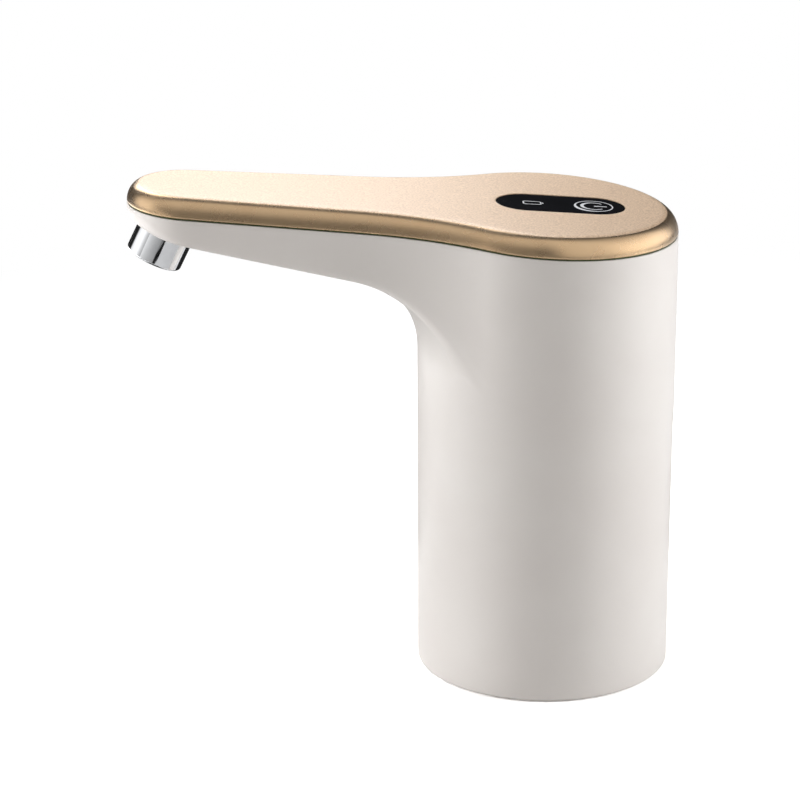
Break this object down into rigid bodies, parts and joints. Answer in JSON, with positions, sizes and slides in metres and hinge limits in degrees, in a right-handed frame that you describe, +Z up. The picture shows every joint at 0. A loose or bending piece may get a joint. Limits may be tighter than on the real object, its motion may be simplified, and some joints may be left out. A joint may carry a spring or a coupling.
{
  "type": "electric water jug pump",
  "caption": "Battery water pump that caps a jug neck: round white body, blended spout arm with a bright nozzle, sloping gold top cover and a black touch panel.",
  "frame": {"origin": "on the axis of the round body, in the plane of its base rim", "axes": "+Z up along the body's axis; the spout arm points towards -X; the part is symmetric about the XZ plane"},
  "size_m": [0.1601, 0.076, 0.1486],
  "materials": {
    "white_plastic": "satin moulded",
    "gold_cover": "fine sand-blasted, satin edge",
    "touch_glass": "polished",
    "cover_seal": "matt",
    "clear_silicone": "satin",
    "grey_plastic": "moulded",
    "chrome_sleeve": "polished",
    "steel": "bright",
    "zinc_plate": "zinc plated",
    "brass": "satin",
    "copper": "enamelled",
    "ferrite": "matt",
    "board_green": "solder mask",
    "black_nylon": "moulded",
    "white_nylon": "moulded",
    "diaphragm_rubber": "matt",
    "battery_wrap": "shrink film"
  },
  "bodies": {
    "root": {"main_housing": "white_plastic", "cover_seal": "cover_seal", "top_cover": "gold_cover", "touch_panel": "touch_glass", "control_board": "board_green", "board_screw_1": "zinc_plate", "board_screw_2": "zinc_plate", "touch_spring": "steel", "neck_collar": "white_plastic", "neck_seal": "clear_silicone", "hose_spigot": "white_nylon", "base_screw_1": "zinc_plate", "base_screw_2": "zinc_plate", "base_screw_3": "zinc_plate", "base_screw_4": "zinc_plate", "chassis_screw_1": "zinc_plate", "chassis_screw_2": "zinc_plate", "chassis": "grey_plastic", "motor_can": "zinc_plate", "motor_end_cap": "black_nylon", "lower_bush": "brass", "upper_bush": "brass", "motor_terminal_1": "brass", "motor_terminal_2": "brass", "motor_magnet_1": "ferrite", "motor_magnet_2": "ferrite", "crankcase": "black_nylon", "diaphragm_carrier": "black_nylon", "diaphragm": "diaphragm_rubber", "valve_plate": "white_nylon", "inlet_valve_1": "clear_silicone", "inlet_valve_2": "clear_silicone", "inlet_valve_3": "clear_silicone", "outlet_valve": "clear_silicone", "pump_cap": "black_nylon", "pump_screw_1": "zinc_plate", "pump_screw_2": "zinc_plate", "pump_screw_3": "zinc_plate", "pump_screw_4": "zinc_plate", "motor_screw_1": "zinc_plate", "motor_screw_2": "zinc_plate", "inlet_tube": "clear_silicone", "outlet_tube": "clear_silicone", "nozzle_sleeve": "chrome_sleeve", "aerator_insert": "white_nylon", "outlet_fitting": "white_nylon", "battery_cell": "battery_wrap", "charge_board": "board_green", "usb_socket": "steel"},
    "rotor": {"armature_core": "steel", "armature_winding": "copper", "commutator": "copper", "motor_shaft": "steel", "crank": "white_nylon", "crank_pin": "steel"},
    "wobble": {"wobble_plate": "white_nylon"}
  },
  "joints": [
    {"name": "motor_spin", "type": "hinge", "parent": "root", "child": "rotor", "pos_m": [-0.0186, 0, 0.0836], "axis": [0, 0, 1], "continuous": true},
    {"name": "wobble_turn", "type": "hinge", "parent": "rotor", "child": "wobble", "pos_m": [-0.0186, 0, 0.0836], "axis": [0.1219, 0, 0.9925], "continuous": true, "deforming": ["diaphragm"]}
  ],
  "couplings": [
    {"joint": "wobble_turn", "follows": "motor_spin", "ratio": -1}
  ]
}
